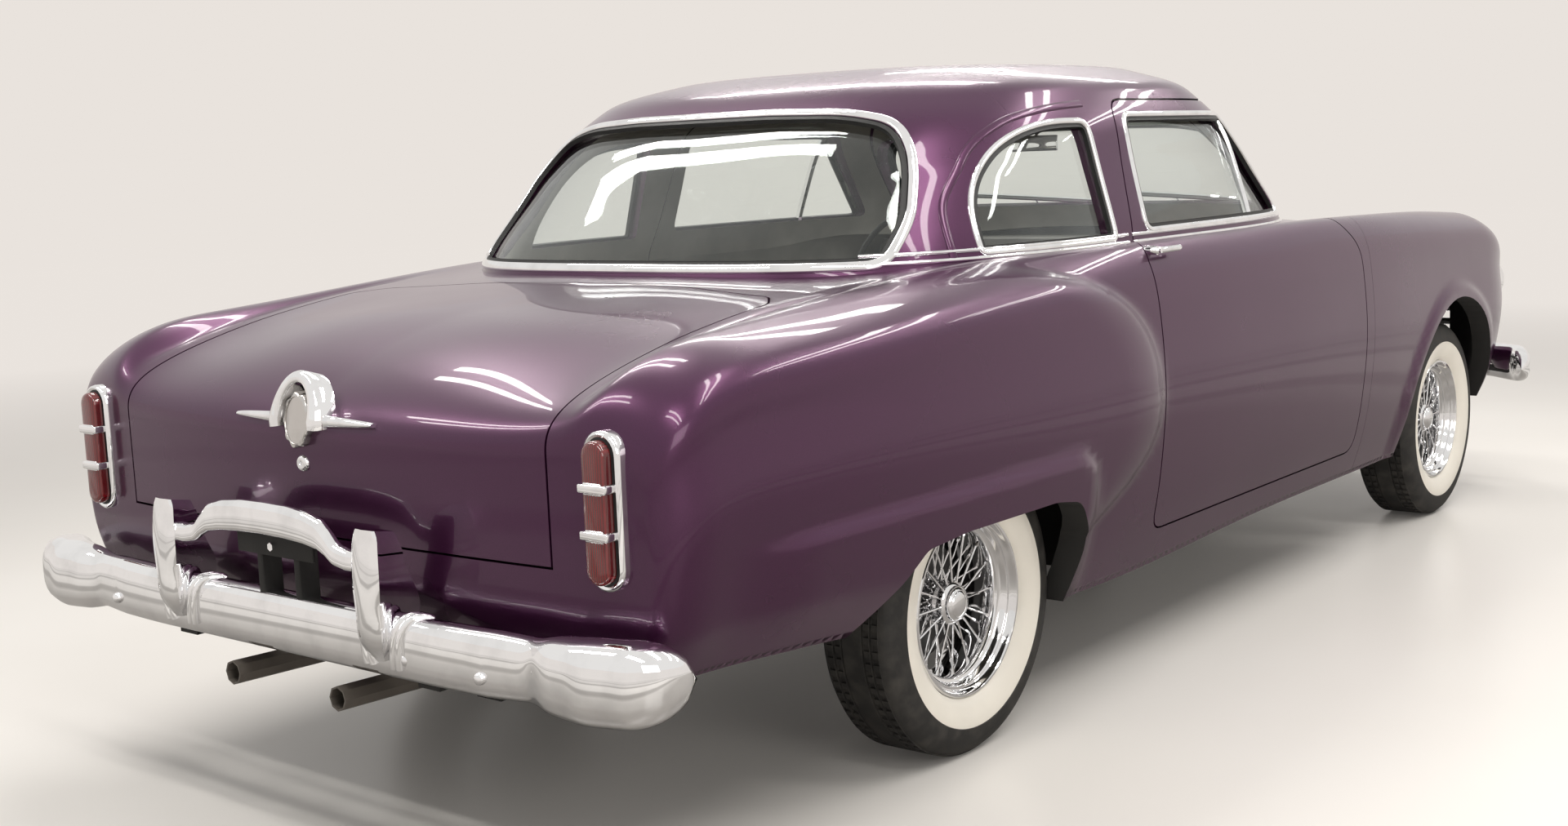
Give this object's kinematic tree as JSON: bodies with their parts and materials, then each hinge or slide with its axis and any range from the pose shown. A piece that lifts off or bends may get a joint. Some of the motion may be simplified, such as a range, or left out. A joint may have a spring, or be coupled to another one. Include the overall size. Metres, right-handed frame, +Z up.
{
  "type": "two-door club sedan",
  "caption": "Two-door club sedan of the early 1950s with a long trunk, wire wheels, chrome bumpers and a hollow cabin.",
  "frame": {"origin": "on the floor under the middle of the car's bounding box", "axes": "+Z up, -Y towards the nose, +X towards the car's left side"},
  "size_m": [1.9882, 5.3327, 1.605],
  "materials": {
    "paint": "metallic purple, glossy",
    "chrome": "polished",
    "tyre": "matt rubber with wide cream whitewalls",
    "steel": "dark underbody steel",
    "iron": "dull",
    "cloth": "grey cloth",
    "glass": "clear",
    "lens": "dark red lens in a polished rim",
    "wheel_rim": "glossy rim"
  },
  "bodies": {
    "car": {"body_shell": "paint", "front_fender_left": "paint", "front_fender_right": "paint", "dashboard": "paint", "chassis_frame": "steel", "floor_pan": "steel", "fuel_tank": "steel", "rear_axle": "steel", "exhaust_left": "steel", "exhaust_right": "steel", "engine_block": "iron", "front_seat": "cloth", "rear_seat": "cloth", "rear_shelf": "cloth", "windshield_glass": "glass", "rear_glass": "glass", "quarter_glass_left": "glass", "quarter_glass_right": "glass", "front_bumper": "chrome", "rear_bumper": "chrome", "grille": "chrome", "headlamp_left": "chrome", "headlamp_right": "chrome", "tail_lamp_left": "lens", "tail_lamp_right": "lens"},
    "hood": {"hood": "paint"},
    "trunk": {"trunk_lid": "paint", "lid_ornament": "chrome"},
    "left_door": {"door_left": "paint", "door_glass_left": "glass", "door_handle_left": "chrome"},
    "right_door": {"door_right": "paint", "door_glass_right": "glass", "door_handle_right": "chrome"},
    "steering": {"steering_wheel": "wheel_rim"},
    "left_knuckle": {"knuckle_left": "steel"},
    "right_knuckle": {"knuckle_right": "steel"},
    "front_left_wheel": {"tyre_front_left": "tyre", "wire_wheel_front_left": "chrome"},
    "front_right_wheel": {"tyre_front_right": "tyre", "wire_wheel_front_right": "chrome"},
    "rear_left_wheel": {"tyre_rear_left": "tyre", "wire_wheel_rear_left": "chrome"},
    "rear_right_wheel": {"tyre_rear_right": "tyre", "wire_wheel_rear_right": "chrome"}
  },
  "joints": [
    {"name": "hood_hinge", "type": "hinge", "parent": "car", "child": "hood", "pos_m": [0, -0.985, 1.13], "axis": [-1, 0, 0], "range_deg": [0, 50]},
    {"name": "trunk_hinge", "type": "hinge", "parent": "car", "child": "trunk", "pos_m": [0, 1.68, 1.13], "axis": [1, 0, 0], "range_deg": [0, 60]},
    {"name": "left_door_hinge", "type": "hinge", "parent": "car", "child": "left_door", "pos_m": [0.962, -0.79, 0.565], "axis": [0, 0, -1], "range_deg": [0, 65]},
    {"name": "right_door_hinge", "type": "hinge", "parent": "car", "child": "right_door", "pos_m": [-0.962, -0.79, 0.565], "axis": [0, 0, 1], "range_deg": [0, 65]},
    {"name": "steer_left", "type": "hinge", "parent": "car", "child": "left_knuckle", "pos_m": [0.64, -1.74, 0.345], "axis": [0, 0, 1], "range_deg": [-30, 30]},
    {"name": "steer_right", "type": "hinge", "parent": "car", "child": "right_knuckle", "pos_m": [-0.64, -1.74, 0.345], "axis": [0, 0, 1], "range_deg": [-30, 30]},
    {"name": "steering_turn", "type": "hinge", "parent": "car", "child": "steering", "pos_m": [0.38, -0.2, 0.985], "axis": [0, 0.8988, 0.4384], "range_deg": [-450, 450]},
    {"name": "front_left_spin", "type": "hinge", "parent": "left_knuckle", "child": "front_left_wheel", "pos_m": [0.762, -1.74, 0.345], "axis": [1, 0, 0], "continuous": true},
    {"name": "front_right_spin", "type": "hinge", "parent": "right_knuckle", "child": "front_right_wheel", "pos_m": [-0.762, -1.74, 0.345], "axis": [1, 0, 0], "continuous": true},
    {"name": "rear_left_spin", "type": "hinge", "parent": "car", "child": "rear_left_wheel", "pos_m": [0.771, 1.359, 0.345], "axis": [1, 0, 0], "continuous": true},
    {"name": "rear_right_spin", "type": "hinge", "parent": "car", "child": "rear_right_wheel", "pos_m": [-0.771, 1.359, 0.345], "axis": [1, 0, 0], "continuous": true}
  ],
  "couplings": [
    {"joint": "steer_right", "follows": "steer_left", "ratio": 1},
    {"joint": "steering_turn", "follows": "steer_left", "ratio": 15}
  ]
}
